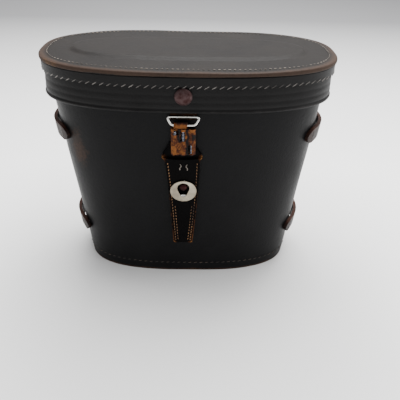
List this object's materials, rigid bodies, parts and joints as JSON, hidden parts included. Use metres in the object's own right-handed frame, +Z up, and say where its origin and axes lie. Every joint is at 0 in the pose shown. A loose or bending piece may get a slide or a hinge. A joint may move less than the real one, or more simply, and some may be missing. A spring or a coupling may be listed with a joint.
{
  "type": "binocular case",
  "caption": "Tapered leather binocular case with a hinged lid, a wire loop, a sprung keyhole closing tab over a stud, and side loops for a strap.",
  "frame": {"origin": "middle of the base, on the surface that the case stands on", "axes": "+X across the width, +Y from front to back, +Z up; the clasp is on the -Y front"},
  "size_m": [0.19, 0.0952, 0.157],
  "materials": {
    "case_leather": "smooth black leather, semi-gloss, scuffed brown",
    "lid_leather": "black leather with a dusty grey bloom and worn brown edges",
    "tab_leather": "black leather with tan worn edges",
    "worn_leather": "orange-tan leather with flaked black finish",
    "felt_lining": "short dark brown felt",
    "bronzed_brass": "dark red-brown bronzed",
    "nickel": "dull nickel plate",
    "black_steel": "blackened steel plate",
    "spring_steel": "grey spring wire"
  },
  "bodies": {
    "case_body": {"body_wall": "case_leather", "base_panel": "case_leather", "mouth_collar": "case_leather", "body_lining": "felt_lining", "base_pad": "felt_lining", "back_seam_cover": "case_leather", "hinge_strip_lower": "case_leather", "strap_loop_upper_left": "case_leather", "strap_loop_upper_right": "case_leather", "strap_loop_lower_left": "case_leather", "strap_loop_lower_right": "case_leather", "closure_stud": "bronzed_brass", "stud_washer": "bronzed_brass"},
    "lid": {"lid_top": "lid_leather", "rim_band": "case_leather", "lid_skirt": "case_leather", "lid_lining": "felt_lining", "hinge_strip_upper": "case_leather", "clasp_hanger": "black_steel", "clasp_rivet": "bronzed_brass", "rivet_washer": "bronzed_brass"},
    "clasp_loop": {"wire_loop": "nickel"},
    "closing_tab": {"spring_sleeve": "worn_leather", "coil_spring_left": "spring_steel", "coil_spring_middle": "spring_steel", "coil_spring_right": "spring_steel", "tab_front": "tab_leather", "tab_back": "tab_leather", "keyhole_plate": "nickel"}
  },
  "joints": [
    {"name": "lid_hinge", "type": "hinge", "parent": "case_body", "child": "lid", "pos_m": [0, 0.0472, 0.1314], "axis": [-1, 0, 0], "range_deg": [0, 115]},
    {"name": "loop_swing", "type": "hinge", "parent": "lid", "child": "clasp_loop", "pos_m": [-0.0027, -0.045, 0.1283], "axis": [-1, 0, 0], "range_deg": [0, 95]},
    {"name": "tab_swing", "type": "hinge", "parent": "clasp_loop", "child": "closing_tab", "pos_m": [-0.0027, -0.0472, 0.1238], "axis": [-1, 0, 0], "range_deg": [0, 45]}
  ]
}
